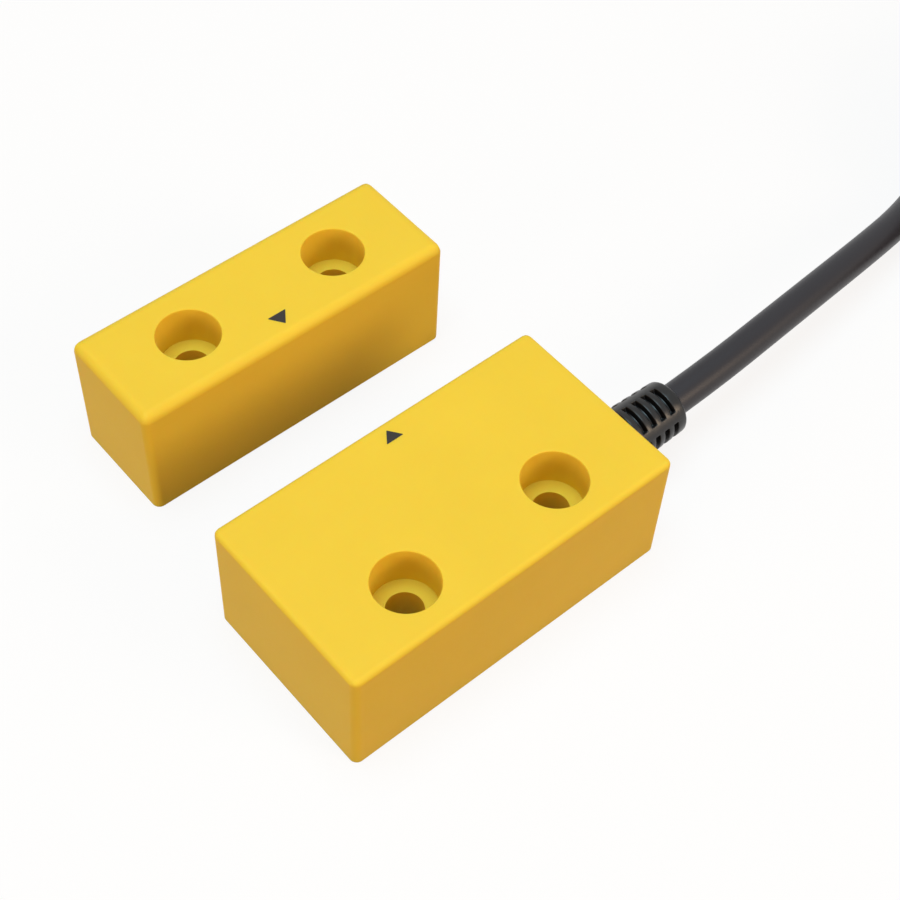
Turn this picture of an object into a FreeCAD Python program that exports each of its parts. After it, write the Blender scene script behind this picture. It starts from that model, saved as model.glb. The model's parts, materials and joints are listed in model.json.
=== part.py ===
import FreeCAD, Part
import math
import os
import re

# Non contact safety switch: a cabled sensor block and the actuator block that faces it.
# Origin: midway between the sensor's two fixing holes, on the mounting plane.
# +X runs along the blocks towards the cable, +Y from the sensor to the actuator, +Z up.
# Millimetres throughout.

SIZES = {
    # Both blocks
    "length": 47.0,
    "height": 17.5,
    "hole_pitch": 22.0,
    "screw_bore": 4.5,
    "head_bore": 8.0,
    "head_depth": 5.6,
    "wall": 1.8,
    "roof": 2.5,
    "rim": 1.0,
    "corner_radius": 1.0,
    "cover_thickness": 1.5,
    "fit": 0.1,
    # Sensor block
    "sensor_width": 25.5,
    "sensor_hole_inset": 6.8,
    "sensor_edge_radius": 0.7,
    "column_wall": 1.4,
    "sensor_resin": 2.7,
    "post_diameter": 2.2,
    "post_inset": 2.6,
    # Actuator block
    "actuator_length": 45.5,
    "actuator_width": 15.5,
    "actuator_edge_radius": 1.3,
    "actuator_gap": 17.2,
    "actuator_shift": 2.1,
    "column_overlap": 0.3,
    "actuator_resin": 4.5,
    "carrier_width": 9.0,
    "carrier_depth": 11.6,
    "carrier_wall": 0.8,
    "carrier_chamfer": 0.5,
    "magnet_width": 3.4,
    "magnet_depth": 4.0,
    # Circuit board and what stands on it
    "board_thickness": 1.6,
    "board_gap": 1.0,
    "reed_inset": 1.7,
    "reed_spacing": 2.8,
    "chip_inset": 2.3,
    "chip_start": 6.2,
    "chip_spacing": 2.8,
    "lead_span": 14.0,
    "lead_diameter": 0.5,
    "lead_hole": 0.8,
    "glass_length": 10.0,
    "glass_diameter": 1.9,
    "glass_wall": 0.25,
    "glass_seal": 1.4,
    "glass_bevel": 0.3,
    "reed_height": 1.4,
    "blade_width": 0.9,
    "blade_thickness": 0.16,
    "blade_gap": 0.1,
    "blade_lap": 0.8,
    "chip_length": 3.2,
    "chip_width": 1.6,
    "chip_height": 0.6,
    "chip_cap": 0.5,
    "chip_cap_lip": 0.05,
    # Cable and its strain relief
    "cable_diameter": 4.4,
    "cable_side": 4.1,
    "cable_height": 8.2,
    "bore_clearance": 0.05,
    "core_diameter": 1.05,
    "core_offset": 0.6,
    "crimp_length": 1.8,
    "crimp_wall": 0.7,
    "boot_length": 11.4,
    "boot_root_diameter": 7.9,
    "boot_end_diameter": 7.2,
    "boot_end_radius": 0.5,
    "boot_neck_diameter": 6.0,
    "boot_lip_diameter": 7.2,
    "boot_lip_thickness": 1.2,
    "slot_pitch": 1.62,
    "slot_width": 0.78,
    "slot_collar": 1.6,
    "slot_floor_diameter": 5.9,
    "slot_angle": 68.0,
    "web_turn": 68.0,
    # Coil of the put-away cable, measured from where the cable leaves the end wall
    "coil_reach": 102.5,
    "coil_side": -10.1,
    "coil_columns": 4.0,
    "coil_layers": 3.0,
    "coil_middle_radius": 24.0,
    "tie_width": 3.0,
    "tie_thickness": 0.8,
    "tip_diameter": 0.6,
    "tip_length": 4.0,
}

STATION_COUNT = 5
SLOT_COUNT = 4
REED_COUNT = 2
CHIP_COUNT = 2
TOLERANCE = 0.01

# Each core's way from the cable's end to its pad on the board, as x from the end wall
# and y from the cable's axis. side and level say which quarter of the cable it lies in.
CORES = [
    {"name": "brown", "side": 1, "level": -1, "bends": [(-6.2, 1.05), (-6.5, 2.5)], "pad": (-6.4, 4.3)},
    {"name": "blue", "side": -1, "level": -1, "bends": [(-6.7, -0.5), (-8.0, 2.3)], "pad": (-8.1, 4.3)},
    {"name": "black", "side": 1, "level": 1, "bends": [(-6.6, 0.7), (-9.5, 3.2)], "pad": (-9.9, 4.7)},
    {"name": "white", "side": -1, "level": 1, "bends": [(-6.9, -0.5), (-10.9, 2.2)], "pad": (-11.7, 4.3)},
]

# Free cable from inside the sensor to the coil, measured from where it leaves the end
# wall and chosen by eye: it leaves straight, sinks to the floor and meets the coil
CABLE_ROUTE = [
    (-5.5, 0.0, 0.0),
    (15.0, 0.0, 0.0),
    (36.5, 1.7, -0.5),
    (54.5, 3.5, -1.9),
    (63.5, 5.0, -3.3),
    (71.5, 7.3, -4.6),
    (78.5, 11.2, -5.95),
]

# Loose ends of the cores on the floor inside the coil, measured from its centre
LEAD_HEIGHT = 0.6
LEAD_ROUTES = [
    [(7.3, 13.2), (10.6, 6.0), (7.4, -3.3)],
    [(5.9, 13.9), (7.4, 6.5), (2.0, -3.1)],
    [(4.7, 14.4), (3.9, 6.3), (-4.2, 0.2)],
    [(3.3, 14.7), (-0.5, 8.3), (-9.6, 5.0)],
]


def expression(text):
    """Point each size's name in a formula at the sheet."""
    return re.sub(r"[a-z]\w*", lambda word: "Sizes." + word[0] if word[0] in SIZES else word[0], text)


def size(name):
    return float(sheet.get(name))


def make_sheet():
    cells = doc.addObject("Spreadsheet::Sheet", "Sizes")
    for row, (name, value) in enumerate(SIZES.items(), start=1):
        cells.set("A%d" % row, name)
        cells.set("B%d" % row, str(value))
        cells.setAlias("B%d" % row, name)
    doc.recompute()
    return cells


def place(thing, x, y, z):
    for axis, formula in zip("xyz", (x, y, z)):
        thing.setExpression("Placement.Base." + axis, expression(formula))


def make_body(label, x="0", y="0", z="0"):
    body = doc.addObject("PartDesign::Body", label)
    body.Label = label
    place(body, x, y, z)
    return body


def make_sketch(body, label, role, offset="0"):
    sketch = body.newObject("Sketcher::SketchObject", body.Label + "_" + label)
    plane = [item for item in body.Origin.OriginFeatures if item.Role == role][0]
    sketch.AttachmentSupport = [(plane, "")]
    sketch.MapMode = "FlatFace"
    sketch.setExpression("AttachmentOffset.Base.z", expression(offset))
    return sketch


def pin_point(sketch, curve, end, across, up):
    """Tie one point of a curve to its place, given as two formulas."""
    for kind, formula in (("DistanceX", across), ("DistanceY", up)):
        index = sketch.addConstraint(Sketcher.Constraint(kind, -1, 1, curve, end, 1.0))
        sketch.setExpression("Constraints[%d]" % index, expression(formula))


def add_outline(sketch, points):
    """Closed outline through points, each a pair of formulas."""
    first = sketch.GeometryCount
    count = len(points)
    for step in range(count):
        start = FreeCAD.Vector(math.cos(step), math.sin(step), 0)
        stop = FreeCAD.Vector(math.cos(step + 1), math.sin(step + 1), 0)
        sketch.addGeometry(Part.LineSegment(start, stop), False)
    for step in range(count):
        after = first + (step + 1) % count
        sketch.addConstraint(Sketcher.Constraint("Coincident", first + step, 2, after, 1))
    for step, (across, up) in enumerate(points):
        pin_point(sketch, first + step, 1, across, up)


def add_rectangle(sketch, left, right, low, high):
    add_outline(sketch, [(left, low), (right, low), (right, high), (left, high)])


def add_circle(sketch, across, up, diameter):
    curve = sketch.addGeometry(Part.Circle(FreeCAD.Vector(1, 1, 0), FreeCAD.Vector(0, 0, 1), 1), False)
    pin_point(sketch, curve, 3, across, up)
    index = sketch.addConstraint(Sketcher.Constraint("Diameter", curve, 2.0))
    sketch.setExpression("Constraints[%d]" % index, expression(diameter))


def add_feature(body, kind, label, sketch, length=None, midplane=False):
    feature = body.newObject("PartDesign::" + kind, body.Label + "_" + label)
    feature.Profile = sketch
    if length is not None:
        feature.setExpression("Length", expression(length))
    if midplane:
        feature.SideType = "Symmetric"
    return feature


def bore_through(body, label, sketch):
    feature = body.newObject("PartDesign::Pocket", body.Label + "_" + label)
    feature.Profile = sketch
    feature.Type = "ThroughAll"
    return feature


def turn_about(body, kind, label, sketch, axis, angle="360"):
    feature = body.newObject("PartDesign::" + kind, body.Label + "_" + label)
    feature.Profile = sketch
    line = [item for item in body.Origin.OriginFeatures if item.Role == axis][0]
    feature.ReferenceAxis = (line, [""])
    feature.setExpression("Angle", expression(angle))
    return feature


def soften(body, label, radius, chosen, kind="Fillet"):
    """Round or chamfer those edges of the body so far that the test picks."""
    doc.recompute()
    tip = body.Tip
    names = ["Edge%d" % (i + 1) for i, edge in enumerate(tip.Shape.Edges) if chosen(edge)]
    feature = body.newObject("PartDesign::" + kind, body.Label + "_" + label)
    feature.Base = (tip, names)
    feature.setExpression("Radius" if kind == "Fillet" else "Size", expression(radius))
    return feature


def is_upright(edge):
    box = edge.BoundBox
    return box.XLength < TOLERANCE and box.YLength < TOLERANCE


def is_at_height(edge, z):
    return edge.BoundBox.ZMin > z - TOLERANCE


def add_hole_pair(sketch, diameter):
    for side in ("-hole_pitch / 2", "hole_pitch / 2"):
        add_circle(sketch, side, "0", diameter)


def make_housing(body, length, front, back, edge_radius, column):
    """Shell open underneath, with a counterbored column round each fixing hole."""
    left, right = "-%s / 2" % length, "%s / 2" % length
    outside = make_sketch(body, "outside_sketch", "XY_Plane")
    add_rectangle(outside, left, right, front, back)
    add_feature(body, "Pad", "outside", outside, "height")
    soften(body, "corners", "corner_radius", is_upright)
    soften(body, "top_edges", edge_radius, lambda edge: is_at_height(edge, size("height")))

    seat = make_sketch(body, "seat_sketch", "XY_Plane")
    add_rectangle(seat, left + " + rim", right + " - rim", front + " + rim", back + " - rim")
    seat_cut = add_feature(body, "Pocket", "cover_seat", seat, "cover_thickness")
    seat_cut.Reversed = True
    cavity = make_sketch(body, "cavity_sketch", "XY_Plane")
    add_rectangle(cavity, left + " + wall", right + " - wall", front + " + wall", back + " - wall")
    cavity_cut = add_feature(body, "Pocket", "cavity", cavity, "height - roof")
    cavity_cut.Reversed = True

    columns = make_sketch(body, "columns_sketch", "XY_Plane", "cover_thickness")
    add_hole_pair(columns, column)
    add_feature(body, "Pad", "columns", columns, "height - roof / 2 - cover_thickness")
    heads = make_sketch(body, "heads_sketch", "XY_Plane", "height")
    add_hole_pair(heads, "head_bore")
    add_feature(body, "Pocket", "head_bores", heads, "head_depth")
    screws = make_sketch(body, "screws_sketch", "XY_Plane", "height")
    add_hole_pair(screws, "screw_bore")
    bore_through(body, "screw_bores", screws)


def make_cover(body, length, front, back):
    """Plate that closes the underside, held by the fixing screws."""
    half = "(%s / 2 - rim - fit)" % length
    plate = make_sketch(body, "plate_sketch", "XY_Plane")
    add_rectangle(plate, "-" + half, half, front + " + rim + fit", back + " - rim - fit")
    add_feature(body, "Pad", "plate", plate, "cover_thickness")
    screws = make_sketch(body, "screws_sketch", "XY_Plane", "cover_thickness")
    add_hole_pair(screws, "screw_bore")
    bore_through(body, "screw_bores", screws)
    soften(body, "corners", "corner_radius / 2",
           lambda edge: is_upright(edge) and edge.Curve.TypeId == "Part::GeomLine")


def make_resin(label, x, y, left, right, front, back, depth, column):
    """Resin poured into a cavity, up to the screw columns."""
    block = doc.addObject("Part::Box", label + "_pour")
    block.setExpression("Length", expression("(%s) - (%s)" % (right, left)))
    block.setExpression("Width", expression("(%s) - (%s)" % (back, front)))
    block.setExpression("Height", expression(depth))
    place(block, left, front, "0")
    resin = block
    for number, side in enumerate(("-hole_pitch / 2", "hole_pitch / 2")):
        rod = doc.addObject("Part::Cylinder", "%s_column_%d" % (label, number))
        rod.setExpression("Radius", expression("(%s) / 2 + bore_clearance" % column))
        rod.setExpression("Height", expression(depth))
        place(rod, side, "0", "0")
        cut = doc.addObject("Part::Cut", "%s_cut_%d" % (label, number))
        cut.Base = resin
        cut.Tool = rod
        resin = cut
    resin.Label = label
    place(resin, x, y, "cover_thickness")
    return resin


def round_path(points, show=None):
    """Straight runs joined by tangent arcs, each arc as large as its two runs allow."""
    edges = []
    radii = []
    start = points[0]
    for before, corner, after in zip(points, points[1:], points[2:]):
        way_in = (corner - before).normalize()
        way_out = (after - corner).normalize()
        reach = 0.45 * min((corner - before).Length, (after - corner).Length)
        half_turn = way_in.getAngle(way_out) / 2
        radii.append(reach / math.tan(half_turn))
        entry = corner - way_in * reach
        leave = corner + way_out * reach
        chord = (entry + leave) / 2
        centre = corner + (chord - corner).normalize() * (radii[-1] / math.cos(half_turn))
        middle = centre + (corner - centre).normalize() * radii[-1]
        edges.append(Part.LineSegment(start, entry).toShape())
        edges.append(Part.Arc(entry, middle, leave).toShape())
        start = leave
    edges.append(Part.LineSegment(start, points[-1]).toShape())
    if show:
        print(show, "radii", [round(radius, 1) for radius in radii])
    return Part.Wire(edges)


def make_tube(points, diameter, rounded=True, show=None):
    """Round solid along a path, with its volume compared with section times length."""
    points = [FreeCAD.Vector(*point) for point in points]
    path = round_path(points, show) if rounded else Part.makePolygon(points)
    start = path.Edges[0].valueAt(path.Edges[0].FirstParameter)
    along = path.Edges[0].tangentAt(path.Edges[0].FirstParameter)
    ring = Part.Wire(Part.Circle(start, along, diameter / 2).toShape())
    tube = path.makePipeShell([ring], True, True, 0 if rounded else 1)
    expected = math.pi * diameter ** 2 / 4 * path.Length
    if abs(tube.Volume - expected) > expected / 100:
        raise ValueError("tube volume %.2f, expected %.2f" % (tube.Volume, expected))
    if show:
        print(show, "length", round(path.Length, 1), "volume", round(tube.Volume, 1))
    return tube


def make_loose(label, shape, x, y, z):
    """A piece whose shape is measured from a place that follows the sheet."""
    piece = doc.addObject("Part::Feature", label)
    piece.Label = label
    piece.Shape = shape
    place(piece, x, y, z)
    return piece


# Heights and edges that several pieces share, as formulas of the sheet
SENSOR_FRONT = "-sensor_hole_inset"
SENSOR_BACK = "sensor_width - sensor_hole_inset"
SENSOR_COLUMN = "head_bore + 2 * column_wall"
ACTUATOR_FRONT = "-actuator_width / 2"
ACTUATOR_BACK = "actuator_width / 2"
ACTUATOR_COLUMN = "actuator_width - 2 * wall + 2 * column_overlap"
ACTUATOR_SPOT = ("actuator_shift", SENSOR_BACK + " + actuator_gap + actuator_width / 2")
BOARD_Z = "cover_thickness + sensor_resin"
BOARD_TOP = BOARD_Z + " + board_thickness"
BOARD_FRONT = "head_bore / 2 + column_wall + board_gap"
BOARD_LEFT = "-length / 2 + wall + board_gap"
BOARD_RIGHT = "length / 2 - wall - boot_lip_thickness - board_gap"
BOARD_BACK = SENSOR_BACK + " - wall - board_gap"
TAB_HALF = "hole_pitch / 2 - head_bore / 2 - column_wall - board_gap"
REED_ROWS = [BOARD_BACK + " - reed_inset - %d * reed_spacing" % number for number in range(REED_COUNT)]
RESIN_TOP = "cover_thickness + actuator_resin"
CARRIER_HEIGHT = "height - roof - (%s) - fit" % RESIN_TOP
CABLE_EXIT = ("length / 2", "cable_side", "cable_height")
COIL_CENTRE = ("length / 2 + coil_reach", "cable_side + coil_side")


def make_sensor_housing():
    body = make_body("sensor_housing")
    make_housing(body, "length", SENSOR_FRONT, SENSOR_BACK, "sensor_edge_radius", SENSOR_COLUMN)
    posts = make_sketch(body, "posts_sketch", "XY_Plane", BOARD_TOP + " + fit")
    left, right = BOARD_LEFT + " + post_inset", BOARD_RIGHT + " - post_inset / 2"
    for across, up in ((left, BOARD_BACK + " - post_inset / 2"), (right, BOARD_BACK + " - post_inset / 2"),
                       (left, BOARD_FRONT + " + post_inset / 2")):
        add_circle(posts, across, up, "post_diameter")
    add_feature(body, "Pad", "board_posts", posts, "height - roof / 2 - (%s) - fit" % BOARD_TOP)
    inlet = make_sketch(body, "inlet_sketch", "YZ_Plane", "length / 2")
    add_circle(inlet, "cable_side", "cable_height", "boot_neck_diameter + 2 * bore_clearance")
    add_feature(body, "Pocket", "cable_inlet", inlet, "wall * 1.5")


def make_circuit_board():
    body = make_body("circuit_board", z=BOARD_Z)
    outline = make_sketch(body, "outline", "XY_Plane")
    tab_front = SENSOR_FRONT + " + wall + board_gap"
    add_outline(outline, [
        (BOARD_LEFT, BOARD_FRONT), ("-(%s)" % TAB_HALF, BOARD_FRONT), ("-(%s)" % TAB_HALF, tab_front),
        (TAB_HALF, tab_front), (TAB_HALF, BOARD_FRONT), (BOARD_RIGHT, BOARD_FRONT),
        (BOARD_RIGHT, BOARD_BACK), (BOARD_LEFT, BOARD_BACK),
    ])
    add_feature(body, "Pad", "board", outline, "board_thickness")
    holes = make_sketch(body, "lead_holes_sketch", "XY_Plane", "board_thickness")
    for row in REED_ROWS:
        for foot in ("-lead_span / 2", "lead_span / 2"):
            add_circle(holes, foot, row, "lead_hole")
    bore_through(body, "lead_holes", holes)


def make_reed(number, row):
    """Sealed glass tube with two sprung blades whose leads bend down into the board."""
    axis = ("0", row, "%s + reed_height + glass_diameter / 2" % BOARD_TOP)
    glass = make_body("reed_glass_%d" % number, *axis)
    half, outer, inner = "glass_length / 2", "glass_diameter / 2", "glass_diameter / 2 - glass_wall"
    seal, lead = "glass_length / 2 - glass_seal", "lead_diameter / 2 + bore_clearance"
    wall_section = make_sketch(glass, "wall_section", "XZ_Plane")
    add_outline(wall_section, [
        ("-" + half, lead), ("-%s" % half, outer + " - glass_bevel"), ("-%s + glass_bevel" % half, outer),
        (half + " - glass_bevel", outer), (half, outer + " - glass_bevel"), (half, lead),
        (seal, lead), (seal, inner), ("-(%s)" % seal, inner), ("-(%s)" % seal, lead),
    ])
    turn_about(glass, "Revolution", "tube", wall_section, "X_Axis")

    drop = size("reed_height") + size("glass_diameter") / 2 + size("board_thickness") - size("fit")
    foot = size("lead_span") / 2
    reach = size("glass_length") / 2 - size("glass_seal")
    width, thickness, lap = size("blade_width"), size("blade_thickness"), size("blade_lap")
    lead = make_tube([(reach, 0, 0), (foot, 0, 0), (foot, 0, -drop)], size("lead_diameter"), rounded=False)
    corner = FreeCAD.Vector(-lap / 2, -width / 2, size("blade_gap") / 2)
    blade = lead.fuse(Part.makeBox(reach + lap / 2, width, thickness, corner)).removeSplitter().Solids[0]
    # The other blade is this one turned about, with its flat on the far side of the gap
    other = lead.fuse(Part.makeBox(reach + lap / 2, width, thickness, corner - FreeCAD.Vector(
        0, 0, size("blade_gap") + thickness))).removeSplitter().Solids[0]
    other.rotate(FreeCAD.Vector(0, 0, 0), FreeCAD.Vector(0, 0, 1), 180)
    make_loose("reed_blades_%d" % number, Part.makeCompound([blade, other]), *axis)


def make_chip(number):
    """Ceramic chip resistor with a metal cap at each end."""
    label = "series_resistor_%d" % number
    pieces = []
    caps = [("ceramic", "chip_cap / 2", "chip_length - chip_cap", "0"),
            ("cap_a", "0", "chip_cap", "chip_cap_lip"),
            ("cap_b", "chip_length - chip_cap", "chip_cap", "chip_cap_lip")]
    for name, start, run, lip in caps:
        box = doc.addObject("Part::Box", label + "_" + name)
        box.setExpression("Length", expression("chip_width + 2 * %s" % lip))
        box.setExpression("Width", expression(run))
        box.setExpression("Height", expression("chip_height + %s" % lip))
        place(box, "-chip_width / 2 - " + lip, "-chip_length / 2 + " + start, "0")
        pieces.append(box)
    chip = doc.addObject("Part::MultiFuse", label)
    chip.Shapes = pieces
    chip.Label = label
    place(chip, "%s + chip_start + %d * chip_spacing" % (BOARD_LEFT, number - 1), BOARD_FRONT + " + chip_inset",
          BOARD_TOP)


def make_core(core):
    """Insulated core from the cable's end to its pad on the board."""
    offset = size("core_offset")
    board = size("cover_thickness") + size("sensor_resin") + size("board_thickness") - size("cable_height")
    z = core["level"] * offset
    points = [(CABLE_ROUTE[0][0] - size("fit") * 3, core["side"] * offset, z)]
    points += [bend + (z,) for bend in core["bends"]]
    points += [core["pad"] + (z,), core["pad"] + (board,)]
    make_loose("core_" + core["name"], make_tube(points, size("core_diameter"), rounded=False), *CABLE_EXIT)


def make_crimp():
    body = make_body("cable_crimp", "length / 2 - wall - boot_lip_thickness - crimp_length", "cable_side",
                     "cable_height")
    ring = make_sketch(body, "ring_sketch", "YZ_Plane")
    add_circle(ring, "0", "0", "cable_diameter + 2 * bore_clearance")
    add_circle(ring, "0", "0", "cable_diameter + 2 * bore_clearance + 2 * crimp_wall")
    add_feature(body, "Pad", "ring", ring, "crimp_length - bore_clearance")


def make_boot():
    """Moulded strain relief: a lip behind the wall, a neck in the inlet and a slotted taper."""
    body = make_body("strain_relief_boot", "length / 2", "cable_side", "cable_height")
    section = make_sketch(body, "section", "XZ_Plane")
    bore = "cable_diameter / 2 + bore_clearance"
    inside, lip_start = "-wall", "-wall - boot_lip_thickness"
    add_outline(section, [
        (lip_start, bore), (lip_start, "boot_lip_diameter / 2"), (inside, "boot_lip_diameter / 2"),
        (inside, "boot_neck_diameter / 2"), ("0", "boot_neck_diameter / 2"), ("0", "boot_root_diameter / 2"),
        ("boot_length", "boot_end_diameter / 2"), ("boot_length", bore),
    ])
    turn_about(body, "Revolution", "form", section, "X_Axis")
    end, neck = size("boot_length"), size("boot_neck_diameter")
    soften(body, "end_round", "boot_end_radius",
           lambda edge: edge.BoundBox.XMin > end - TOLERANCE and edge.BoundBox.YLength > neck)

    slots = make_sketch(body, "slots_sketch", "XZ_Plane")
    for station in range(STATION_COUNT):
        far = "boot_length - slot_collar - %d * slot_pitch" % station
        add_rectangle(slots, far + " - slot_width", far, "slot_floor_diameter / 2", "boot_root_diameter")
    groove = turn_about(body, "Groove", "slot", slots, "X_Axis", "slot_angle")
    ring = body.newObject("PartDesign::PolarPattern", "strain_relief_boot_slot_ring")
    ring.Originals = [groove]
    axis = [item for item in body.Origin.OriginFeatures if item.Role == "X_Axis"][0]
    ring.Axis = (axis, [""])
    ring.Angle = 360
    ring.Occurrences = SLOT_COUNT
    body.Tip = ring
    body.Placement.Rotation = FreeCAD.Rotation(FreeCAD.Vector(1, 0, 0), size("web_turn"))


def make_coil():
    """Outer shape of the wound cable, with a flat under the tie, and the tie round it."""
    body = make_body("cable_coil", *COIL_CENTRE)
    inner = "coil_middle_radius - coil_columns * cable_diameter / 2"
    outer = "coil_middle_radius + coil_columns * cable_diameter / 2"
    top = "coil_layers * cable_diameter"
    section = make_sketch(body, "section", "XZ_Plane")
    add_rectangle(section, inner, outer, "0", top)
    turn_about(body, "Revolution", "ring", section, "Z_Axis")
    soften(body, "turn_bevels", "cable_diameter * 0.3",
           lambda edge: edge.BoundBox.ZLength < TOLERANCE, "Chamfer")
    flat = make_sketch(body, "tie_flat_sketch", "XZ_Plane")
    add_rectangle(flat, inner + " - cable_diameter", outer + " + cable_diameter", "-1", "tie_thickness + fit")
    add_feature(body, "Pocket", "tie_flat", flat, "tie_width + 2 * fit", midplane=True)

    tie = make_body("cable_tie", *COIL_CENTRE)
    loop = make_sketch(tie, "loop_sketch", "XZ_Plane")
    inside = (inner + " - fit", outer + " + fit", "tie_thickness", top + " + fit")
    add_rectangle(loop, *inside)
    add_rectangle(loop, inside[0] + " - tie_thickness", inside[1] + " + tie_thickness", "0",
                  inside[3] + " + tie_thickness")
    add_feature(tie, "Pad", "loop", loop, "tie_width", midplane=True)


def make_leads():
    """Insulated core ends with their bare tips, loose on the floor inside the coil."""
    tips = []
    for core, route in zip(CORES, LEAD_ROUTES):
        points = [point + (LEAD_HEIGHT,) for point in route]
        make_loose("lead_" + core["name"], make_tube(points, size("core_diameter")), *COIL_CENTRE, "0")
        end = FreeCAD.Vector(*points[-1])
        along = (end - FreeCAD.Vector(*points[-2])).normalize()
        tips.append(Part.makeCylinder(size("tip_diameter") / 2, size("tip_length"), end, along))
    make_loose("lead_tips", Part.makeCompound(tips), *COIL_CENTRE, "0")


def make_sensor():
    make_sensor_housing()
    make_cover(make_body("sensor_base_cover"), "length", SENSOR_FRONT, SENSOR_BACK)
    edge = "wall + bore_clearance"
    make_resin("sensor_resin_layer", "0", "0", "-length / 2 + " + edge, "length / 2 - (%s)" % edge,
               SENSOR_FRONT + " + " + edge, SENSOR_BACK + " - (%s)" % edge, "sensor_resin", SENSOR_COLUMN)
    make_circuit_board()
    for number, row in enumerate(REED_ROWS, start=1):
        make_reed(number, row)
    for number in range(1, CHIP_COUNT + 1):
        make_chip(number)
    for core in CORES:
        make_core(core)
    make_crimp()
    make_boot()


def make_magnets():
    """Moulded carrier between the columns, with a magnet in each of its two pockets."""
    front = "(carrier_wall - carrier_depth / 2)"
    centre = "(carrier_wall + magnet_width) / 2"
    tall = "%s - carrier_wall" % CARRIER_HEIGHT
    carrier = make_body("magnet_carrier", *ACTUATOR_SPOT, RESIN_TOP)
    outline = make_sketch(carrier, "outline", "XY_Plane")
    add_rectangle(outline, "-carrier_width / 2", "carrier_width / 2", "-carrier_depth / 2", "carrier_depth / 2")
    add_feature(carrier, "Pad", "block", outline, CARRIER_HEIGHT)
    pockets = make_sketch(carrier, "pockets_sketch", "XY_Plane")
    for number, side in enumerate(("-", ""), start=1):
        middle = side + centre
        add_rectangle(pockets, "%s - magnet_width / 2 - bore_clearance" % middle,
                      "%s + magnet_width / 2 + bore_clearance" % middle, front + " - bore_clearance",
                      front + " + magnet_depth + bore_clearance")
        corner = (ACTUATOR_SPOT[0] + " + " + middle, ACTUATOR_SPOT[1] + " + " + front, RESIN_TOP)
        magnet = make_body("magnet_%d" % number, *corner)
        section = make_sketch(magnet, "outline", "XY_Plane")
        add_rectangle(section, "-magnet_width / 2", "magnet_width / 2", "0", "magnet_depth")
        add_feature(magnet, "Pad", "block", section, "%s - fit" % tall)
    cut = add_feature(carrier, "Pocket", "pockets", pockets, tall)
    cut.Reversed = True
    side = size("carrier_width") / 2
    soften(carrier, "corners", "carrier_chamfer",
           lambda edge: is_upright(edge) and abs(abs(edge.BoundBox.XMin) - side) < TOLERANCE, "Chamfer")


def make_actuator():
    body = make_body("actuator_housing", *ACTUATOR_SPOT)
    make_housing(body, "actuator_length", ACTUATOR_FRONT, ACTUATOR_BACK, "actuator_edge_radius",
                 ACTUATOR_COLUMN)
    cover = make_body("actuator_base_cover", *ACTUATOR_SPOT)
    make_cover(cover, "actuator_length", ACTUATOR_FRONT, ACTUATOR_BACK)
    edge = "wall + bore_clearance"
    make_resin("actuator_resin_layer", *ACTUATOR_SPOT, "-hole_pitch / 2", "hole_pitch / 2",
               ACTUATOR_FRONT + " + " + edge, ACTUATOR_BACK + " - (%s)" % edge, "actuator_resin",
               ACTUATOR_COLUMN)
    make_magnets()


def export_all():
    doc.recompute()
    failed = [item.Label for item in doc.Objects if set(item.State) & {"Invalid", "Error"}]
    if failed:
        raise RuntimeError("failed objects: " + ", ".join(failed))
    used = {item.Name for owner in doc.Objects for item in owner.OutList}
    kinds = ("PartDesign::Body", "Part::Cut", "Part::MultiFuse", "Part::Feature")
    pieces = [item for item in doc.Objects if item.TypeId in kinds and item.Name not in used]
    os.makedirs("parts", exist_ok=True)
    for piece in pieces:
        if piece.Shape.isNull() or not piece.Shape.isValid() or not piece.Shape.Solids:
            raise RuntimeError("bad shape: " + piece.Label)
        piece.Shape.exportStep("parts/%s.step" % piece.Label)
        print("%-24s %9.2f mm3, %d solid" % (piece.Label, piece.Shape.Volume, len(piece.Shape.Solids)))


import Sketcher

doc = FreeCAD.newDocument("non_contact_safety_switch")
sheet = make_sheet()
make_sensor()
make_actuator()
make_loose("cable_jacket", make_tube(CABLE_ROUTE, size("cable_diameter"), show="cable"), *CABLE_EXIT)
make_coil()
make_leads()
export_all()
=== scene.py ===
# Non contact safety switch: finishes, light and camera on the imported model.
# Metres in the model's frame: +X runs towards the cable, +Y from the sensor to the
# actuator, +Z up, with the origin between the sensor's fixing holes.

import bmesh
import bpy
import json
from math import atan2, cos, pi, radians, sin
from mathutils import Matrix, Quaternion, Vector


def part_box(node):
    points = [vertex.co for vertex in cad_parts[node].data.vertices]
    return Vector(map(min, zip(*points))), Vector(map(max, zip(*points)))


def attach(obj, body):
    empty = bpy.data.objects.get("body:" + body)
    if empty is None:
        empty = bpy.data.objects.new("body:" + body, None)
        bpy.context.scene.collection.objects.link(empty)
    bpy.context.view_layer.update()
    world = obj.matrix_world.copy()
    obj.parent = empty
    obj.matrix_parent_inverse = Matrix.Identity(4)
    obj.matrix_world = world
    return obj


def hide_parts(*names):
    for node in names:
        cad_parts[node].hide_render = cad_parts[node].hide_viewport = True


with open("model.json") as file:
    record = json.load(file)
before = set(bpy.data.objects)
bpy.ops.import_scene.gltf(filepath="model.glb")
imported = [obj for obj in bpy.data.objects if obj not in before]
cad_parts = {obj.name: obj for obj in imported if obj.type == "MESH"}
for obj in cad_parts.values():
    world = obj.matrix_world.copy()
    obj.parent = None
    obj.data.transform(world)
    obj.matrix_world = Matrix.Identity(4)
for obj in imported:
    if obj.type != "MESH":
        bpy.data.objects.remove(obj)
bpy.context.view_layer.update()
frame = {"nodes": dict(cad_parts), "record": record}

MM = 0.001

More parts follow.
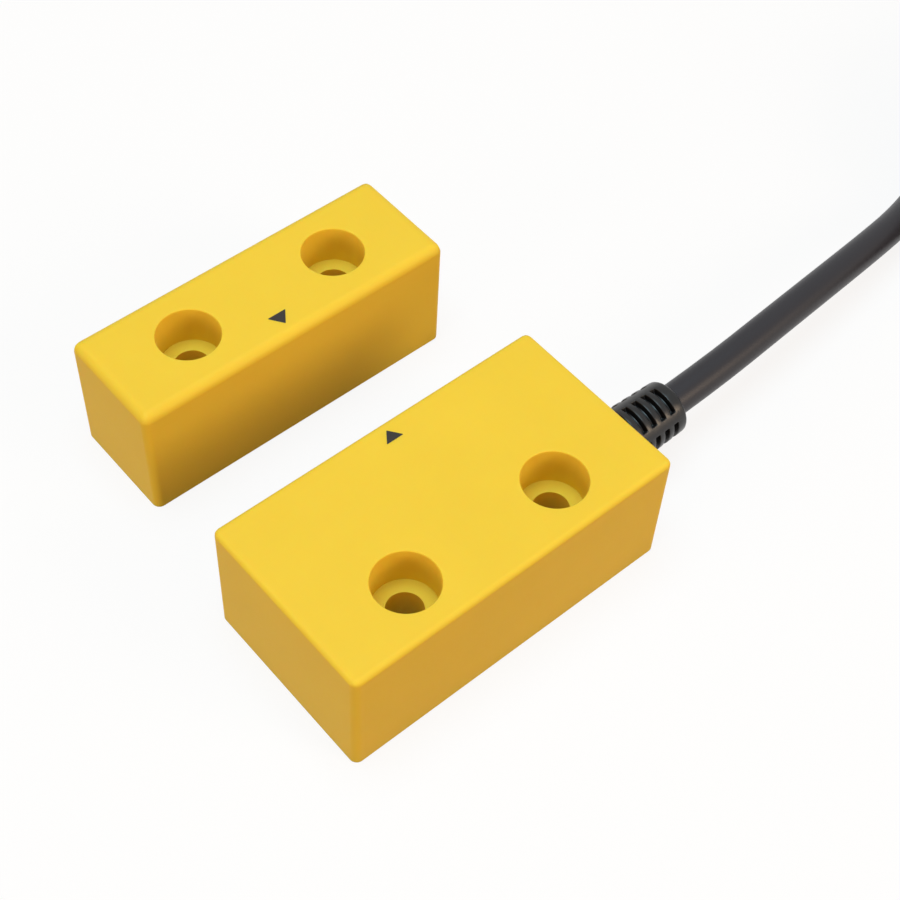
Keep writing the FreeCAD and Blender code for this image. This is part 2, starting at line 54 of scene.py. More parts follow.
# Moulded blocks
HOLE_PITCH = 22.0 * MM
SCREW_RADIUS = 2.25 * MM
HEAD_RADIUS = 4.0 * MM
HEAD_DEPTH = 5.6 * MM
HOLE_RIM = 0.14 * MM
HOLE_FLARE = (0.35, 0.65)
FLARE_RISE = 0.6
WALL = 1.8 * MM
ROOF = 2.5 * MM
COVER_RIM = 1.0 * MM
SMOOTH_ANGLE = radians(35)
CORNER_RADIUS = 1.0 * MM
BLOCK_ROUND_STEPS = 8
SENSOR_EDGE = 0.7 * MM
ACTUATOR_EDGE = 1.3 * MM
SENSOR_COLUMN = 5.4 * MM
ACTUATOR_COLUMN = 6.25 * MM
TOP_TOLERANCE = 0.01 * MM
POST_RADIUS = 1.1 * MM
POST_LENGTH = 16.0 * MM
POST_INSET = 2.6 * MM
FIT = 0.1 * MM
BEYOND = 2.0 * MM

# Strain relief, along its own axis from the sensor's end wall
BOOT_LENGTH = 11.4 * MM
BOOT_ROOT = 3.95 * MM
BOOT_END = 3.6 * MM
BOOT_END_ROUND = 0.45 * MM
BOOT_NECK = 3.0 * MM
BOOT_LIP = 3.6 * MM
BOOT_LIP_THICKNESS = 1.2 * MM
BOOT_BORE = 2.25 * MM
BOOT_SOFTENING = 0.12 * MM
BOOT_END_STEPS = 4
SLOT_STATIONS = 5
SLOT_PITCH = 1.62 * MM
SLOT_WIDTH = 0.78 * MM
SLOT_COLLAR = 1.6 * MM
SLOT_DEPTH = 0.85 * MM
SLOT_SECTORS = 4
SECTOR_STEPS = 24
WEB_STEPS = 6
WEB_ANGLE = radians(57)

# Cable: its route, the coil that the rest is wound into, the tie and the loose cores.
# The routes and the coil's centre are in millimetres, and so are the cores' offset and height.
CABLE_RADIUS = 2.2 * MM
CABLE_ROUTE = [
    (18.0, 4.1, 8.2), (38.5, 4.1, 8.2), (60.0, 5.8, 7.7), (78.0, 7.6, 6.3),
    (87.0, 9.1, 4.9), (95.0, 11.4, 3.6), (102.0, 15.3, 2.25),
]
COIL_CENTRE = (126.0, -6.0)
COIL_COLUMNS = 4
COIL_LAYERS = 3
COIL_RADIUS = 24.0 * MM
TURN_POINTS = 16
CHANGE_POINTS = 4
COIL_START = radians(108)
ROUTE_STEPS = 6
TIE_THICKNESS = 0.8 * MM
TIE_HEAD_LENGTH = 4.4 * MM
TIE_HEAD_END = 0.2 * MM
TIE_HEAD_OVERHANG = 0.4 * MM
TIE_SOFTENING = 0.25 * MM
CORE_RADIUS = 0.525 * MM
CORE_STEPS = 10
CORE_OFFSET = 0.6
LEAD_HEIGHT = 0.6
LEAD_ROUTES = {
    "brown": [(7.3, 13.2), (10.6, 6.0), (7.4, -3.3)],
    "blue": [(5.9, 13.9), (7.4, 6.5), (2.0, -3.1)],
    "black": [(4.7, 14.4), (3.9, 6.3), (-4.2, 0.2)],
    "white": [(3.3, 14.7), (-0.5, 8.3), (-9.6, 5.0)],
}

# Printed pointers on the tops: x and y of the base's middle, width, and height, which is
# below zero where the pointer looks towards -Y
SENSOR_MARK = (0.45 * MM, 15.8 * MM, 2.45 * MM, 1.65 * MM)
ACTUATOR_MARK = (1.33 * MM, 39.68 * MM, 2.68 * MM, -1.88 * MM)
INK_THICKNESS = 0.02 * MM
INK_CORNER = 0.12 * MM

# Camera, fitted to the corners and holes of both blocks in the photograph
CAMERA_PLACE = (-78.361 * MM, -77.087 * MM, 176.222 * MM)
CAMERA_YAW = radians(46.686)
CAMERA_PITCH = radians(52.769)
CAMERA_ROLL = radians(3.678)
CAMERA_LENS = 69.37
CAMERA_FRAME = 36

# Finish of every surface
MOTTLE_SCALE = 90
ROUGHNESS_SWING = 0.12
BUMP_DISTANCE = 0.05 * MM

# Studio
FLOOR_SIZE = 4.0
FLOOR_DROP = 0.02 * MM
FLOOR_GLOW = 0.86
SKY_STRENGTH = 0.48
LIGHTS_AIM = (0.01, 0.02, 0.01)


def only(obj):
    """Select one object and make it active."""
    bpy.ops.object.select_all(action="DESELECT")
    obj.select_set(True)
    bpy.context.view_layer.objects.active = obj


def name_new(name):
    """Name the object that an operator has just added, with its place in its mesh."""
    obj = bpy.context.active_object
    obj.name = name
    obj.data.name = name
    bpy.ops.object.transform_apply(location=True, rotation=True, scale=True)
    return obj


def add_box(name, low, high):
    """Box between its lowest and highest corners."""
    low, high = Vector(low), Vector(high)
    bpy.ops.object.select_all(action="DESELECT")
    bpy.ops.mesh.primitive_cube_add(size=1, location=(low + high) / 2, scale=high - low)
    return name_new(name)


def add_rod(name, place, radius, length, vertices=96):
    """Round rod that stands on a point."""
    middle = Vector(place) + Vector((0, 0, length / 2))
    bpy.ops.object.select_all(action="DESELECT")
    bpy.ops.mesh.primitive_cylinder_add(vertices=vertices, radius=radius, depth=length, location=middle)
    return name_new(name)


def edit(obj):
    """Go into edit mode on one object."""
    only(obj)
    bpy.ops.object.mode_set(mode="EDIT")


def leave_edit():
    """Go back to object mode."""
    bpy.ops.object.mode_set(mode="OBJECT")


def select(obj, kind, chosen):
    """In edit mode, select only those faces or edges that pass a test."""
    bpy.ops.mesh.select_mode(type=kind)
    bpy.ops.mesh.select_all(action="DESELECT")
    mesh = bmesh.from_edit_mesh(obj.data)
    for item in (mesh.faces if kind == "FACE" else mesh.edges):
        item.select_set(chosen(item))
    mesh.select_flush_mode()
    bmesh.update_edit_mesh(obj.data)


def face_outwards():
    """Join doubled points and turn all the faces outwards."""
    bpy.ops.mesh.select_all(action="SELECT")
    bpy.ops.mesh.remove_doubles(threshold=0.001 * MM)
    bpy.ops.mesh.normals_make_consistent(inside=False)


def cut(body, *cutters):
    """Take closed shapes out of a body, and delete them."""
    only(body)
    for cutter in cutters:
        tool = body.modifiers.new("cut", "BOOLEAN")
        tool.operation = "DIFFERENCE"
        tool.solver = "EXACT"
        tool.object = cutter
        bpy.ops.object.modifier_apply(modifier=tool.name)
        bpy.data.objects.remove(cutter)


def smooth(obj):
    """Shade the rounded faces smoothly and keep the flat ones flat."""
    only(obj)
    bpy.ops.object.shade_smooth_by_angle(angle=SMOOTH_ANGLE)
    weights = obj.modifiers.new("weights", "WEIGHTED_NORMAL")
    weights.keep_sharp = True
    bpy.ops.object.modifier_apply(modifier=weights.name)


def stands_upright(edge):
    """Whether an edge of the block is one of its four upright corners."""
    return abs(edge.verts[0].co.z - edge.verts[1].co.z) > MM


def round_block(name, low, high, edge_radius):
    """Box with rounded upright corners and a rounded edge round its top."""
    block = add_box(name, low, high)
    widest = max(CORNER_RADIUS, edge_radius)
    top = high[2] - TOP_TOLERANCE
    edit(block)
    select(block, "EDGE", stands_upright)
    bpy.ops.transform.edge_bevelweight(value=CORNER_RADIUS / widest)
    select(block, "EDGE", lambda edge: all(vert.co.z > top for vert in edge.verts))
    bpy.ops.transform.edge_bevelweight(value=edge_radius / widest)
    leave_edit()
    rounding = block.modifiers.new("rounding", "BEVEL")
    rounding.limit_method = "WEIGHT"
    rounding.width = widest
    rounding.segments = BLOCK_ROUND_STEPS
    bpy.ops.object.modifier_apply(modifier=rounding.name)
    return block


def head_cutter(name, x, y, top):
    """Counterbore with a small flare where it breaks the top face."""
    bpy.ops.object.select_all(action="DESELECT")
    bpy.ops.mesh.primitive_circle_add(vertices=128, radius=HEAD_RADIUS, fill_type="NGON",
                                      location=(x, y, top - HEAD_DEPTH))
    cutter = name_new(name)
    edit(cutter)
    bpy.ops.mesh.select_all(action="SELECT")
    bpy.ops.mesh.extrude_region_move(TRANSFORM_OT_translate={"value": (0, 0, HEAD_DEPTH - HOLE_RIM)})
    for reach in HOLE_FLARE:
        bpy.ops.mesh.extrude_region_move(TRANSFORM_OT_translate={"value": (0, 0, HOLE_RIM * FLARE_RISE)})
        flare = (HEAD_RADIUS + HOLE_RIM * reach) / HEAD_RADIUS
        bpy.ops.transform.resize(value=(flare, flare, 1), center_override=(x, y, top))
    bpy.ops.mesh.extrude_region_move(TRANSFORM_OT_translate={"value": (0, 0, BEYOND)})
    face_outwards()
    leave_edit()
    return cutter


def make_shell(name, body, edge_radius, column, mark):
    """Moulded housing: hollow underneath, with a counterbored column at each fixing hole."""
    low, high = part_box(name)
    middle_x = (low[0] + high[0]) / 2
    hole_y = 0.0 if body == "sensor" else (low[1] + high[1]) / 2
    shell = round_block(name + "_shell", low, high, edge_radius)
    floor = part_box(body + "_base_cover")[1][2]
    cavity = add_box("cavity", (low[0] + WALL, low[1] + WALL, floor - FIT),
                     (high[0] - WALL, high[1] - WALL, high[2] - ROOF))
    seat = add_box("seat", (low[0] + COVER_RIM, low[1] + COVER_RIM, -BEYOND),
                   (high[0] - COVER_RIM, high[1] - COVER_RIM, floor))
    holes = [middle_x - HOLE_PITCH / 2, middle_x + HOLE_PITCH / 2]
    cut(cavity, *[add_rod("column", (x, hole_y, 0), column, high[2]) for x in holes])
    if body == "sensor":
        cut(cavity, *board_posts())
    cut(shell, seat, cavity)
    if body == "sensor":
        cut(shell, inlet_cutter(high[0]))
    for x in holes:
        cut(shell, add_rod("screw_bore", (x, hole_y, -BEYOND), SCREW_RADIUS, high[2]))
        cut(shell, head_cutter("head_bore", x, hole_y, high[2]))
    smooth(shell)
    finish_piece(shell, body, "housing_plastic", name)
    make_mark(name + "_pointer", body, mark, high[2])


def board_posts():
    """Three pegs that hold the board down against the resin."""
    low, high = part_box("circuit_board")
    left, right = low[0] + POST_INSET, high[0] - POST_INSET / 2
    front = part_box("series_resistor_1")[0][1] + POST_RADIUS / 2
    back = high[1] - POST_INSET / 2
    return [add_rod("post", (x, y, high[2] + FIT), POST_RADIUS, POST_LENGTH, vertices=32)
            for x, y in ((left, back), (right, back), (left, front))]


def inlet_cutter(end):
    """Round hole in the end wall for the strain relief's neck."""
    x, y, z = end - WALL / 2, CABLE_ROUTE[0][1] * MM, CABLE_ROUTE[0][2] * MM
    bpy.ops.object.select_all(action="DESELECT")
    bpy.ops.mesh.primitive_cylinder_add(vertices=96, radius=BOOT_NECK + FIT / 2, depth=WALL * 2,
                                        location=(x, y, z), rotation=(0, pi / 2, 0))
    return name_new("inlet")


def make_mark(name, body, mark, top):
    """Printed pointer: a thin dark triangle with slightly rounded corners."""
    x, base, width, height = mark
    centre = (x, base + height / 3, top)
    radius = abs(height) / 1.5
    bpy.ops.object.select_all(action="DESELECT")
    bpy.ops.mesh.primitive_circle_add(vertices=3, radius=radius, fill_type="NGON", location=centre,
                                      rotation=(0, 0, 0 if height > 0 else pi))
    pointer = name_new(name)
    edit(pointer)
    bpy.ops.mesh.select_all(action="SELECT")
    stretch = width / (2 * radius * cos(radians(30)))
    bpy.ops.transform.resize(value=(stretch, 1, 1), center_override=centre)
    bpy.ops.mesh.bevel(offset=INK_CORNER, segments=3, affect="VERTICES")
    bpy.ops.mesh.select_all(action="SELECT")
    bpy.ops.mesh.extrude_region_move(TRANSFORM_OT_translate={"value": (0, 0, INK_THICKNESS)})
    face_outwards()
    leave_edit()
    finish_piece(pointer, body, "pointer_ink")


def ring_after(x, radius, centre, before):
    """Extrude the selected ring along X to a new place and radius."""
    step, old_radius = x - before[0], before[1]
    bpy.ops.mesh.extrude_region_move(TRANSFORM_OT_translate={"value": (step, 0, 0)})
    scale = radius / old_radius
    bpy.ops.transform.resize(value=(1, scale, scale), center_override=centre)
    return x, radius


def boot_rings():
    """Outside of the strain relief as x and radius, from its lip to its end."""
    def taper(x):
        return BOOT_ROOT + (BOOT_END - BOOT_ROOT) * x / BOOT_LENGTH

    back = -WALL - BOOT_LIP_THICKNESS
    rings = [(back, BOOT_BORE), (back, BOOT_LIP), (-WALL, BOOT_LIP), (-WALL, BOOT_NECK),
             (0.0, BOOT_NECK), (0.0, BOOT_ROOT)]
    for station in reversed(range(SLOT_STATIONS)):
        far = BOOT_LENGTH - SLOT_COLLAR - station * SLOT_PITCH
        rings += [(far - SLOT_WIDTH, taper(far - SLOT_WIDTH)), (far, taper(far))]
    for step in range(BOOT_END_STEPS + 1):
        angle = radians(90 * step / BOOT_END_STEPS)
        rings.append((BOOT_LENGTH - BOOT_END_ROUND * (1 - sin(angle)),
                      BOOT_END - BOOT_END_ROUND * (1 - cos(angle))))
    rings.append((BOOT_LENGTH, BOOT_BORE))
    return rings


def in_slot(face, axis):
    """Whether a face of the boot's skin lies in one of the slots."""
    place = face.calc_center_median() - axis
    if abs(face.normal.x) > 0.5 or Vector((place.y, place.z)).length < BOOT_NECK:
        return False
    along = (BOOT_LENGTH - SLOT_COLLAR - place.x) / SLOT_PITCH
    sector = 2 * pi / SLOT_SECTORS
    half_web = WEB_STEPS / 2 * sector / SECTOR_STEPS
    around = (atan2(place.z, place.y) - WEB_ANGLE) % sector
    between_webs = half_web < around < sector - half_web
    return between_webs and 0 < along < SLOT_STATIONS and along % 1 < SLOT_WIDTH / SLOT_PITCH


def make_boot():
    """Moulded strain relief with rings of short slots that let it bend."""
    axis = Vector((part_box("sensor_housing")[1][0], CABLE_ROUTE[0][1] * MM, CABLE_ROUTE[0][2] * MM))
    rings = boot_rings()
    bpy.ops.object.select_all(action="DESELECT")
    bpy.ops.mesh.primitive_circle_add(vertices=SLOT_SECTORS * SECTOR_STEPS, radius=rings[0][1],
                                      location=axis + Vector((rings[0][0], 0, 0)), rotation=(0, pi / 2, 0))
    boot = name_new("strain_relief_skin")
    edit(boot)
    bpy.ops.mesh.select_mode(type="EDGE")
    bpy.ops.mesh.select_all(action="SELECT")
    before = rings[0]
    for x, radius in rings[1:]:
        before = ring_after(x, radius, axis, before)
    select(boot, "EDGE", lambda edge: edge.is_boundary)
    bpy.ops.mesh.bridge_edge_loops()
    face_outwards()
    select(boot, "FACE", lambda face: in_slot(face, axis))
    bpy.ops.mesh.extrude_region_shrink_fatten(TRANSFORM_OT_shrink_fatten={"value": -SLOT_DEPTH})
    leave_edit()
    soften(boot, BOOT_SOFTENING, 40)
    smooth(boot)
    finish_piece(boot, "sensor", "boot_rubber", "strain_relief_boot")


def soften(obj, width, angle):
    """Round the edges that turn by more than an angle."""
    only(obj)
    edges = obj.modifiers.new("soft_edges", "BEVEL")
    edges.width = width
    edges.segments = 3
    edges.limit_method = "ANGLE"
    edges.angle_limit = radians(angle)
    bpy.ops.object.modifier_apply(modifier=edges.name)


def make_line(name, points, radius, sides, resolution):
    """Smooth round line: a NURBS spline with a round section."""
    data = bpy.data.curves.new(name, "CURVE")
    data.dimensions = "3D"
    spline = data.splines.new("NURBS")
    spline.points.add(len(points) - 1)
    for point, place in zip(spline.points, points):
        point.co = (*place, 1)
    spline.order_u = 3
    spline.use_endpoint_u = True
    spline.resolution_u = resolution
    data.bevel_depth = radius
    data.bevel_resolution = sides
    data.use_fill_caps = True
    obj = bpy.data.objects.new(name, data)
    bpy.context.collection.objects.link(obj)
    return obj


def coil_turns():
    """Radius and height of each turn, wound up and down from the outer column inwards."""
    turns = []
    for column in range(COIL_COLUMNS):
        layers = range(COIL_LAYERS) if column % 2 == 0 else reversed(range(COIL_LAYERS))
        radius = COIL_RADIUS + CABLE_RADIUS * (COIL_COLUMNS - 1 - 2 * column)
        turns += [(radius, CABLE_RADIUS * (1 + 2 * layer)) for layer in layers]
    return turns


def coil_points():
    """Control points of the coil, clockwise from above, each turn easing out of the last."""
    points = []
    step = 2 * pi / TURN_POINTS
    centre = Vector((*COIL_CENTRE, 0)) * MM
    old = coil_turns()[0]
    for turn in coil_turns():
        for number in range(TURN_POINTS):
            share = min(1, (number + 1) / CHANGE_POINTS)
            ease = share * share * (3 - 2 * share)
            radius = old[0] + (turn[0] - old[0]) * ease
            height = old[1] + (turn[1] - old[1]) * ease
            angle = COIL_START - step * len(points)
            outward = Vector((cos(angle), sin(angle), 0))
            points.append(centre + outward * radius / cos(step / 2) + Vector((0, 0, height)))
        old = turn
    points[-1] = centre + outward * radius + Vector((0, 0, height))
    return points


def make_cable():
    """The whole cable as one line, with its tie and loose cores."""
    route = [Vector(point) * MM for point in CABLE_ROUTE]
    turns = coil_points()
    cable = make_line("cable", route + turns, CABLE_RADIUS, sides=10, resolution=ROUTE_STEPS)
    finish_piece(cable, "sensor", "cable_sheath", "cable_jacket", "cable_coil")
    leads = make_leads(turns[-1], (turns[-1] - turns[-2]).normalized())
    tie = make_tie()


def make_leads(end, along):
    """Insulated cores that leave the jacket's end side by side and lie on the floor."""
    leads = []
    across = along.cross(Vector((0, 0, 1)))
    for number, (colour, route) in enumerate(LEAD_ROUTES.items()):
        side = (1 - 2 * (number // 2)) * CORE_OFFSET * MM
        level = (1 - 2 * (number % 2)) * CORE_OFFSET * MM
        start = end + across * side + Vector((0, 0, level))
        points = [start - along * 2 * MM, start + along * MM]
        points += [Vector((COIL_CENTRE[0] + x, COIL_CENTRE[1] + y, LEAD_HEIGHT)) * MM for x, y in route]
        lead = make_line("loose_core_" + colour, points, CORE_RADIUS, sides=4, resolution=CORE_STEPS)
        finish_piece(lead, "sensor", "core_" + colour, "lead_" + colour)
        leads.append(lead)
    return leads


def make_tie():
    """Nylon tie round the coil: a flat band that ends in its locking head."""
    low, high = [Vector(corner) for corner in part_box("cable_tie")]
    tie = add_box("coil_tie", low, high)
    inwards = Vector((TIE_THICKNESS, -BEYOND, TIE_THICKNESS))
    cut(tie, add_box("opening", low + inwards, high - inwards))
    head_end = high.x - TIE_HEAD_END
    head = add_box("coil_tie_head",
                   (head_end - TIE_HEAD_LENGTH, low.y - TIE_HEAD_OVERHANG, high.z - TIE_THICKNESS),
                   (head_end, high.y + TIE_HEAD_OVERHANG, high.z))
    join_to(tie, head)
    soften(tie, TIE_SOFTENING, 30)
    smooth(tie)
    finish_piece(tie, "sensor", "tie_nylon", "cable_tie")
    return tie


def join_to(body, other):
    """Fuse one closed shape with another, and delete the second."""
    only(body)
    tool = body.modifiers.new("join", "BOOLEAN")
    tool.operation = "UNION"
    tool.solver = "EXACT"
    tool.object = other
    bpy.ops.object.modifier_apply(modifier=tool.name)
    bpy.data.objects.remove(other)


def finish_piece(obj, body, material, *nodes):
    """Give a new piece its material and its body, and hide the nodes that it stands for."""
    obj.data.materials.clear()
    obj.data.materials.append(MATERIALS[material])
    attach(obj, body)
    if nodes:
        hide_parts(*nodes)


def group_socket(group, name, kind, way="INPUT", value=None):
    """Named input or output of a node group."""
    socket = group.interface.new_socket(name, in_out=way, socket_type="NodeSocket" + kind)
    if value is not None:
        socket.default_value = value


def make_moulded_group():
    """Skin of a moulded or extruded surface: slow mottling, fine grain and their bump."""
    group = bpy.data.node_groups.new("moulded_skin", "ShaderNodeTree")
    group_socket(group, "Colour", "Color", value=(0.8, 0.8, 0.8, 1))
    group_socket(group, "Mottle", "Float", value=0.03)
    group_socket(group, "Roughness", "Float", value=0.45)
    group_socket(group, "Grain Size", "Float", value=2500)
    group_socket(group, "Grain Height", "Float", value=0.1)
    group_socket(group, "Colour", "Color", "OUTPUT")
    group_socket(group, "Roughness", "Float", "OUTPUT")
    group_socket(group, "Height", "Float", "OUTPUT")
    nodes, links = group.nodes, group.links
    given = nodes.new("NodeGroupInput")
    out = nodes.new("NodeGroupOutput")
    place = nodes.new("ShaderNodeTexCoord")
    slow = nodes.new("ShaderNodeTexNoise")
    slow.inputs["Scale"].default_value = MOTTLE_SCALE
    slow.inputs["Detail"].default_value = 3
    fine = nodes.new("ShaderNodeTexNoise")
    fine.inputs["Detail"].default_value = 2
    links.new(place.outputs["Object"], slow.inputs["Vector"])
    links.new(place.outputs["Object"], fine.inputs["Vector"])
    links.new(given.outputs["Grain Size"], fine.inputs["Scale"])
    swing = nodes.new("ShaderNodeMapRange")
    links.new(slow.outputs["Fac"], swing.inputs["Value"])
    swing.inputs["From Min"].default_value = 0.3
    swing.inputs["From Max"].default_value = 0.7
    for operation, limit in (("SUBTRACT", "To Min"), ("ADD", "To Max")):
        share = nodes.new("ShaderNodeMath")
        share.operation = operation
        share.inputs[0].default_value = 1
        links.new(given.outputs["Mottle"], share.inputs[1])
        links.new(share.outputs[0], swing.inputs[limit])
    shade = nodes.new("ShaderNodeVectorMath")
    shade.operation = "SCALE"
    links.new(given.outputs["Colour"], shade.inputs[0])
    links.new(swing.outputs[0], shade.inputs["Scale"])
    links.new(shade.outputs["Vector"], out.inputs["Colour"])
    rough = nodes.new("ShaderNodeMath")
    rough.operation = "MULTIPLY_ADD"
    links.new(fine.outputs["Fac"], rough.inputs[0])
    rough.inputs[1].default_value = ROUGHNESS_SWING
    links.new(given.outputs["Roughness"], rough.inputs[2])
    links.new(rough.outputs[0], out.inputs["Roughness"])
    height = nodes.new("ShaderNodeMath")
    height.operation = "MULTIPLY"
    links.new(fine.outputs["Fac"], height.inputs[0])
    links.new(given.outputs["Grain Height"], height.inputs[1])
    links.new(height.outputs[0], out.inputs["Height"])
    return group


def make_material(name, colour, roughness, mottle=0.05, grain=2500, height=0.1, **shader):
    """Principled material on the moulded skin group. Other values go on the shader itself."""
    material = bpy.data.materials.new(name)
    material.use_nodes = True
    material.diffuse_color = (*colour, 1)
    nodes, links = material.node_tree.nodes, material.node_tree.links
    surface = nodes["Principled BSDF"]
    skin = nodes.new("ShaderNodeGroup")
    skin.node_tree = MOULDED
    skin.inputs["Colour"].default_value = (*colour, 1)
    skin.inputs["Mottle"].default_value = mottle
    skin.inputs["Roughness"].default_value = roughness
    skin.inputs["Grain Size"].default_value = grain
    skin.inputs["Grain Height"].default_value = height
    bump = nodes.new("ShaderNodeBump")
    bump.inputs["Distance"].default_value = BUMP_DISTANCE
    links.new(skin.outputs["Height"], bump.inputs["Height"])
    links.new(skin.outputs["Colour"], surface.inputs["Base Color"])
    links.new(skin.outputs["Roughness"], surface.inputs["Roughness"])
    links.new(bump.outputs["Normal"], surface.inputs["Normal"])
    for socket, value in shader.items():
        surface.inputs[socket.replace("_", " ")].default_value = value
    return material


def make_materials():
    """One material for each slot of the record, and the ink of the pointers."""
    looks = {
        "housing_plastic": dict(colour=(0.84, 0.61, 0.06), roughness=0.40, mottle=0.015, grain=2600,
                                height=0.12, Subsurface_Weight=0.3, Subsurface_Scale=2.0 * MM,
                                Subsurface_Radius=(1.0, 0.4, 0.1), Specular_IOR_Level=0.07),
        "cover_plastic": dict(colour=(0.035, 0.035, 0.038), roughness=0.5, grain=1800, height=0.5),
        "potting_resin": dict(colour=(0.006, 0.006, 0.007), roughness=0.18, mottle=0.1, grain=300,
                              height=0.4, Coat_Weight=0.4),
        "board_laminate": dict(colour=(0.012, 0.10, 0.035), roughness=0.3, mottle=0.12, grain=1200,
                               height=0.15, Coat_Weight=0.3),
        "reed_glass": dict(colour=(0.55, 0.85, 0.65), roughness=0.02, mottle=0.02, grain=500,
                           height=0.0, Transmission_Weight=0.9, IOR=1.5),
        "reed_metal": dict(colour=(0.50, 0.48, 0.44), roughness=0.25, mottle=0.04, grain=3000,
                           Metallic=1.0),
        "chip_ceramic": dict(colour=(0.02, 0.02, 0.022), roughness=0.45, mottle=0.08, height=0.3),
        "core_brown": dict(colour=(0.085, 0.028, 0.012), roughness=0.38),
        "core_blue": dict(colour=(0.006, 0.040, 0.26), roughness=0.38),
        "core_black": dict(colour=(0.008, 0.008, 0.009), roughness=0.38),
        "core_white": dict(colour=(0.74, 0.73, 0.69), roughness=0.38, mottle=0.03),
        "crimp_brass": dict(colour=(0.56, 0.36, 0.10), roughness=0.3, mottle=0.06, height=0.2,
                            Metallic=1.0),
        "boot_rubber": dict(colour=(0.005, 0.0046, 0.005), roughness=0.25, mottle=0.10, grain=1800,
                            height=0.35, Specular_IOR_Level=0.5),
        "cable_sheath": dict(colour=(0.018, 0.017, 0.023), roughness=0.34, mottle=0.04, grain=2200,
                             height=0.12, Specular_IOR_Level=0.40),
        "tie_nylon": dict(colour=(0.010, 0.010, 0.011), roughness=0.4, height=0.2),
        "tinned_copper": dict(colour=(0.60, 0.60, 0.58), roughness=0.3, mottle=0.08, grain=5000,
                              height=0.6, Metallic=1.0),
        "carrier_nylon": dict(colour=(0.62, 0.60, 0.52), roughness=0.45, mottle=0.03, height=0.2),
        "magnet_nickel": dict(colour=(0.62, 0.60, 0.57), roughness=0.2, mottle=0.04, grain=1500,
                              Metallic=1.0),
        "pointer_ink": dict(colour=(0.036, 0.032, 0.032), roughness=0.5, mottle=0.06, grain=3000,
                            height=0.2, Specular_IOR_Level=0.2),
    }
    return {name: make_material(name, **look) for name, look in looks.items()}


def dress_nodes():
    """Give every CAD node its material."""
    for part in frame["record"]["subparts"]:
        node = frame["nodes"][part["node"]]
        node.data.materials.clear()
        node.data.materials.append(MATERIALS[part["material_slot"]])


def seen_directly(nodes, links):
    """1 for what the camera sees, or sees in a reflection or through glass."""
    paths = nodes.new("ShaderNodeLightPath")
    result = paths.outputs["Is Camera Ray"]
    for way in ("Is Glossy Ray", "Is Transmission Ray"):
        either = nodes.new("ShaderNodeMath")
        either.operation = "MAXIMUM"
        links.new(result, either.inputs[0])
        links.new(paths.outputs[way], either.inputs[1])
        result = either.outputs[0]
    return result


def make_floor():
    """Pale floor: near white to the camera, with a soft shadow, and duller in the light it throws back."""
    bpy.ops.object.select_all(action="DESELECT")
    bpy.ops.mesh.primitive_plane_add(size=FLOOR_SIZE, location=(0, 0, -FLOOR_DROP))
    floor = name_new("floor")
    material = bpy.data.materials.new("floor_paper")
    material.use_nodes = True
    nodes, links = material.node_tree.nodes, material.node_tree.links
    nodes.clear()
    seen = seen_directly(nodes, links)
    tone = nodes.new("ShaderNodeMix")
    tone.data_type = "RGBA"
    tone.inputs[6].default_value = (0.20, 0.16, 0.11, 1)
    tone.inputs[7].default_value = (0.88, 0.90, 0.98, 1)
    links.new(seen, tone.inputs[0])
    paper = nodes.new("ShaderNodeBsdfDiffuse")
    links.new(tone.outputs[2], paper.inputs["Color"])
    glow = nodes.new("ShaderNodeEmission")
    share = nodes.new("ShaderNodeMath")
    share.operation = "MULTIPLY"
    share.inputs[1].default_value = FLOOR_GLOW
    links.new(seen, share.inputs[0])
    mix = nodes.new("ShaderNodeMixShader")
    links.new(share.outputs[0], mix.inputs["Fac"])
    links.new(paper.outputs[0], mix.inputs[1])
    links.new(glow.outputs[0], mix.inputs[2])
    out = nodes.new("ShaderNodeOutputMaterial")
    links.new(mix.outputs[0], out.inputs["Surface"])
    floor.data.materials.append(material)


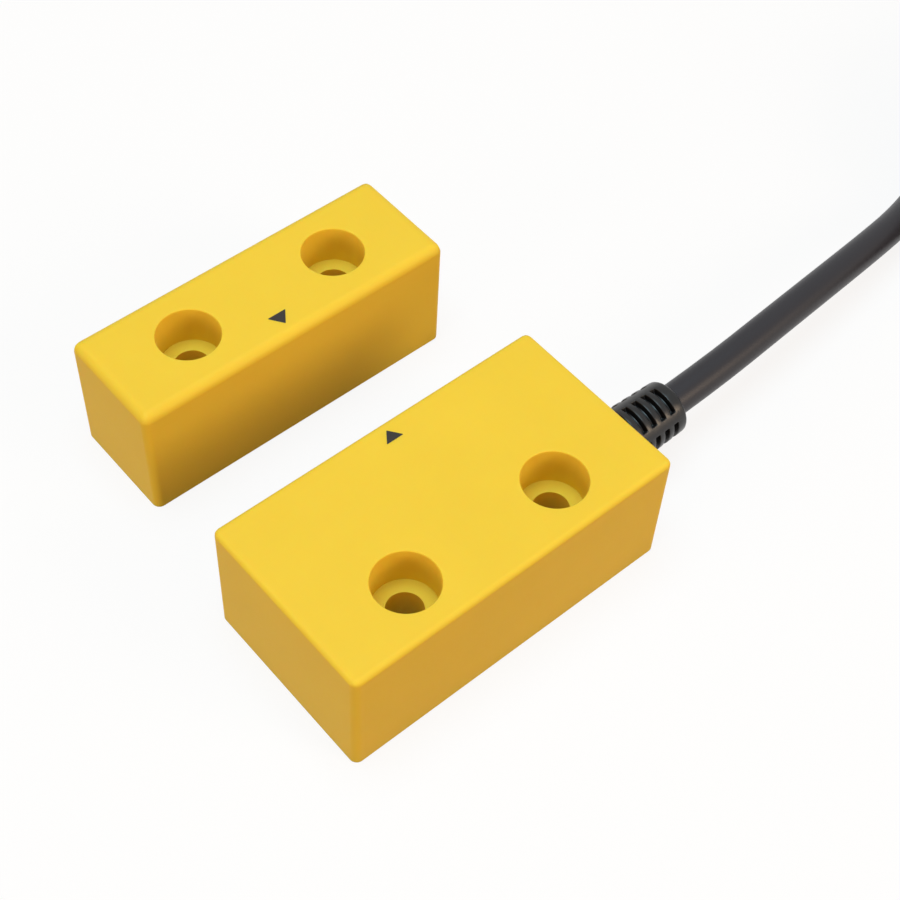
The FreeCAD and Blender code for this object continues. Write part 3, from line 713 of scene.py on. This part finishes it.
def make_world():
    """White to the camera and in reflections, and an even warm sky to everything else."""
    world = bpy.data.worlds.new("studio")
    bpy.context.scene.world = world
    world.use_nodes = True
    nodes, links = world.node_tree.nodes, world.node_tree.links
    nodes.clear()
    sky = nodes.new("ShaderNodeBackground")
    sky.inputs["Color"].default_value = (1, 0.58, 0.22, 1)
    sky.inputs["Strength"].default_value = SKY_STRENGTH
    white = nodes.new("ShaderNodeBackground")
    mix = nodes.new("ShaderNodeMixShader")
    links.new(seen_directly(nodes, links), mix.inputs["Fac"])
    links.new(sky.outputs[0], mix.inputs[1])
    links.new(white.outputs[0], mix.inputs[2])
    out = nodes.new("ShaderNodeOutputWorld")
    links.new(mix.outputs[0], out.inputs["Surface"])


def add_lamp(name, place, size, power, colour):
    """Round soft lamp that points at the blocks."""
    data = bpy.data.lights.new(name, "AREA")
    data.shape = "DISK"
    data.size = size
    data.energy = power
    data.color = colour
    lamp = bpy.data.objects.new(name, data)
    lamp.location = place
    lamp.rotation_euler = (Vector(LIGHTS_AIM) - Vector(place)).to_track_quat("-Z", "Y").to_euler()
    bpy.context.collection.objects.link(lamp)


def make_lights():
    """Cool light on the tops, and warmer light on the front and on the left ends."""
    add_lamp("overhead", (-0.05, 0.05, 0.75), size=0.5, power=3.5, colour=(0.66, 1, 1.15))
    add_lamp("front", (0.30, -0.63, 0.36), size=0.4, power=2.6, colour=(1, 0.76, 0.54))
    add_lamp("end", (-0.74, 0.0, 0.15), size=0.4, power=1.9, colour=(1, 0.82, 0.64))


def make_camera():
    """Camera where the photograph was taken from."""
    data = bpy.data.cameras.new("camera")
    data.lens = CAMERA_LENS
    data.sensor_width = CAMERA_FRAME
    data.clip_start = 0.01
    camera = bpy.data.objects.new("camera", data)
    bpy.context.collection.objects.link(camera)
    level = Vector((cos(CAMERA_YAW), sin(CAMERA_YAW), 0)) * cos(CAMERA_PITCH)
    ahead = level - Vector((0, 0, sin(CAMERA_PITCH)))
    turn = ahead.to_track_quat("-Z", "Y") @ Quaternion((0, 0, 1), CAMERA_ROLL)
    camera.rotation_euler = turn.to_euler()
    camera.location = CAMERA_PLACE
    bpy.context.scene.camera = camera


MOULDED = make_moulded_group()
MATERIALS = make_materials()

bpy.context.scene.view_settings.view_transform = "Standard"
dress_nodes()
make_camera()
make_cable()
make_shell("sensor_housing", "sensor", SENSOR_EDGE, SENSOR_COLUMN, SENSOR_MARK)
make_shell("actuator_housing", "actuator", ACTUATOR_EDGE, ACTUATOR_COLUMN, ACTUATOR_MARK)
make_boot()
make_floor()
make_world()
make_lights()
